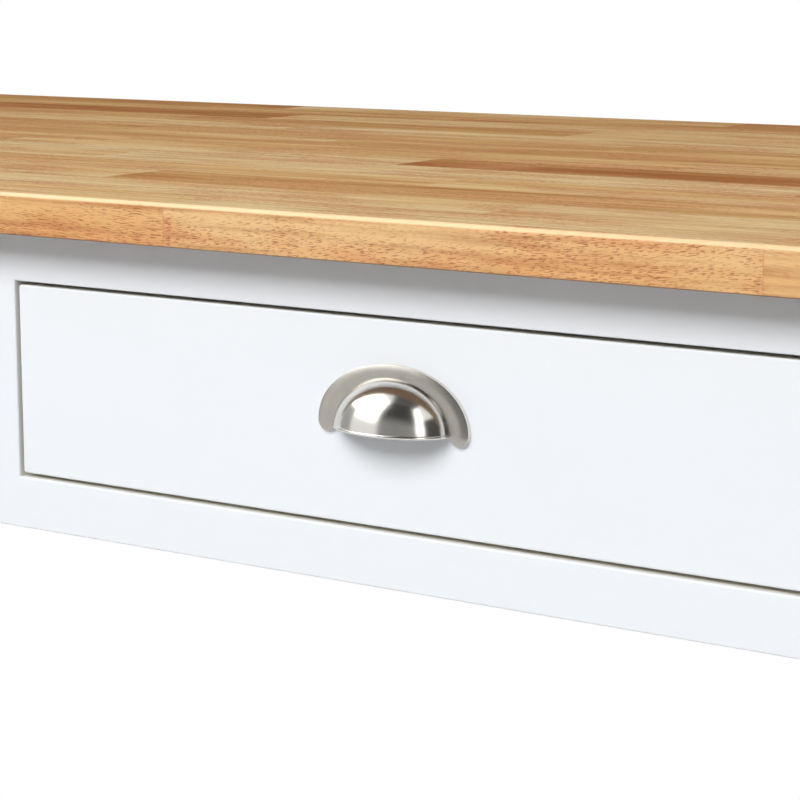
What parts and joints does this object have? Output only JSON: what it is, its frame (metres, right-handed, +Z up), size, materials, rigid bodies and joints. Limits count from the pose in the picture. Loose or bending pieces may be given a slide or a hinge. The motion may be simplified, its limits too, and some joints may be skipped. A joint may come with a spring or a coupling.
{
  "type": "kitchen cart",
  "caption": "Kitchen cart with a glued-stave wood worktop, a white frame, inset drawers with cup pulls on roller runners, a slatted shelf and swivel casters",
  "frame": {"origin": "on the floor, midway between the four casters' legs", "axes": "+X right along the front, +Y towards the back, +Z up; the drawers open towards -Y"},
  "size_m": [1.35, 0.7, 0.9],
  "materials": {
    "worktop_wood": "clear satin varnish over glued rubberwood staves",
    "white_paint": "white satin paint on wood",
    "bare_wood": "bare sanded softwood",
    "coated_steel": "white epoxy coat",
    "nylon": "moulded nylon",
    "satin_nickel": "satin nickel",
    "zinc_steel": "bright zinc plate",
    "caster_tread": "moulded grey tread",
    "pedal_plastic": "moulded plastic"
  },
  "bodies": {
    "frame": {"worktop": "worktop_wood", "front_left_leg": "white_paint", "front_right_leg": "white_paint", "back_left_leg": "white_paint", "back_right_leg": "white_paint", "front_apron": "white_paint", "back_apron": "white_paint", "left_apron": "white_paint", "right_apron": "white_paint", "shelf_front_rail": "white_paint", "shelf_back_rail": "white_paint", "shelf_slats": "white_paint", "corner_blocks": "bare_wood", "outer_runner_boards": "bare_wood", "centre_runner_board": "bare_wood", "left_cabinet_slides": "coated_steel", "right_cabinet_slides": "coated_steel", "hanger_bolts": "zinc_steel", "hanger_nuts": "zinc_steel", "top_screws": "zinc_steel", "rail_bolts": "zinc_steel", "barrel_nuts": "zinc_steel", "leg_inserts": "zinc_steel", "caster_stems": "zinc_steel"},
    "left_drawer": {"left_drawer_front": "white_paint", "left_drawer_box_front": "bare_wood", "left_drawer_sides": "bare_wood", "left_drawer_back": "bare_wood", "left_drawer_bottom": "bare_wood", "left_cup_pull": "satin_nickel", "left_pull_screws": "zinc_steel", "left_front_screws": "zinc_steel", "left_drawer_slides": "coated_steel"},
    "left_cabinet_rollers": {"left_cabinet_rollers": "nylon"},
    "left_drawer_rollers": {"left_drawer_rollers": "nylon"},
    "right_drawer": {"right_drawer_front": "white_paint", "right_drawer_box_front": "bare_wood", "right_drawer_sides": "bare_wood", "right_drawer_back": "bare_wood", "right_drawer_bottom": "bare_wood", "right_cup_pull": "satin_nickel", "right_pull_screws": "zinc_steel", "right_front_screws": "zinc_steel", "right_drawer_slides": "coated_steel"},
    "right_cabinet_rollers": {"right_cabinet_rollers": "nylon"},
    "right_drawer_rollers": {"right_drawer_rollers": "nylon"},
    "front_left_fork": {"front_left_caster_fork": "zinc_steel", "front_left_caster_axle": "zinc_steel"},
    "front_left_wheel": {"front_left_caster_wheel": "caster_tread"},
    "front_left_pedal": {"front_left_brake_pedal": "pedal_plastic"},
    "front_right_fork": {"front_right_caster_fork": "zinc_steel", "front_right_caster_axle": "zinc_steel"},
    "front_right_wheel": {"front_right_caster_wheel": "caster_tread"},
    "front_right_pedal": {"front_right_brake_pedal": "pedal_plastic"},
    "back_left_fork": {"back_left_caster_fork": "zinc_steel", "back_left_caster_axle": "zinc_steel"},
    "back_left_wheel": {"back_left_caster_wheel": "caster_tread"},
    "back_right_fork": {"back_right_caster_fork": "zinc_steel", "back_right_caster_axle": "zinc_steel"},
    "back_right_wheel": {"back_right_caster_wheel": "caster_tread"}
  },
  "joints": [
    {"name": "left_drawer_slide", "type": "slide", "parent": "frame", "child": "left_drawer", "axis": [0, -1, 0], "range_m": [0, 0.375]},
    {"name": "left_cabinet_rollers_spin", "type": "hinge", "parent": "frame", "child": "left_cabinet_rollers", "pos_m": [-0.275, -0.289, 0.773], "axis": [1, 0, 0], "continuous": true},
    {"name": "left_drawer_rollers_spin", "type": "hinge", "parent": "left_drawer", "child": "left_drawer_rollers", "pos_m": [-0.275, 0.18, 0.7725], "axis": [1, 0, 0], "continuous": true},
    {"name": "right_drawer_slide", "type": "slide", "parent": "frame", "child": "right_drawer", "axis": [0, -1, 0], "range_m": [0, 0.375]},
    {"name": "right_cabinet_rollers_spin", "type": "hinge", "parent": "frame", "child": "right_cabinet_rollers", "pos_m": [0.275, -0.289, 0.773], "axis": [1, 0, 0], "continuous": true},
    {"name": "right_drawer_rollers_spin", "type": "hinge", "parent": "right_drawer", "child": "right_drawer_rollers", "pos_m": [0.275, 0.18, 0.7725], "axis": [1, 0, 0], "continuous": true},
    {"name": "front_left_swivel", "type": "hinge", "parent": "frame", "child": "front_left_fork", "pos_m": [-0.625, -0.305, 0.058], "axis": [0, 0, 1], "continuous": true},
    {"name": "front_left_roll", "type": "hinge", "parent": "front_left_fork", "child": "front_left_wheel", "pos_m": [-0.625, -0.287, 0.025], "axis": [1, 0, 0], "continuous": true},
    {"name": "front_left_brake", "type": "hinge", "parent": "front_left_fork", "child": "front_left_pedal", "pos_m": [-0.625, -0.26895, 0.04896], "axis": [-1, 0, 0], "range_deg": [0, 18]},
    {"name": "front_right_swivel", "type": "hinge", "parent": "frame", "child": "front_right_fork", "pos_m": [0.625, -0.305, 0.058], "axis": [0, 0, 1], "continuous": true},
    {"name": "front_right_roll", "type": "hinge", "parent": "front_right_fork", "child": "front_right_wheel", "pos_m": [0.625, -0.287, 0.025], "axis": [1, 0, 0], "continuous": true},
    {"name": "front_right_brake", "type": "hinge", "parent": "front_right_fork", "child": "front_right_pedal", "pos_m": [0.625, -0.26895, 0.04896], "axis": [-1, 0, 0], "range_deg": [0, 18]},
    {"name": "back_left_swivel", "type": "hinge", "parent": "frame", "child": "back_left_fork", "pos_m": [-0.625, 0.305, 0.058], "axis": [0, 0, 1], "continuous": true},
    {"name": "back_left_roll", "type": "hinge", "parent": "back_left_fork", "child": "back_left_wheel", "pos_m": [-0.625, 0.323, 0.025], "axis": [1, 0, 0], "continuous": true},
    {"name": "back_right_swivel", "type": "hinge", "parent": "frame", "child": "back_right_fork", "pos_m": [0.625, 0.305, 0.058], "axis": [0, 0, 1], "continuous": true},
    {"name": "back_right_roll", "type": "hinge", "parent": "back_right_fork", "child": "back_right_wheel", "pos_m": [0.625, 0.323, 0.025], "axis": [1, 0, 0], "continuous": true}
  ],
  "couplings": [
    {"joint": "left_cabinet_rollers_spin", "follows": "left_drawer_slide", "rad_per_m": 90.909},
    {"joint": "left_drawer_rollers_spin", "follows": "left_drawer_slide", "rad_per_m": 90.909},
    {"joint": "right_cabinet_rollers_spin", "follows": "right_drawer_slide", "rad_per_m": 90.909},
    {"joint": "right_drawer_rollers_spin", "follows": "right_drawer_slide", "rad_per_m": 90.909}
  ]
}
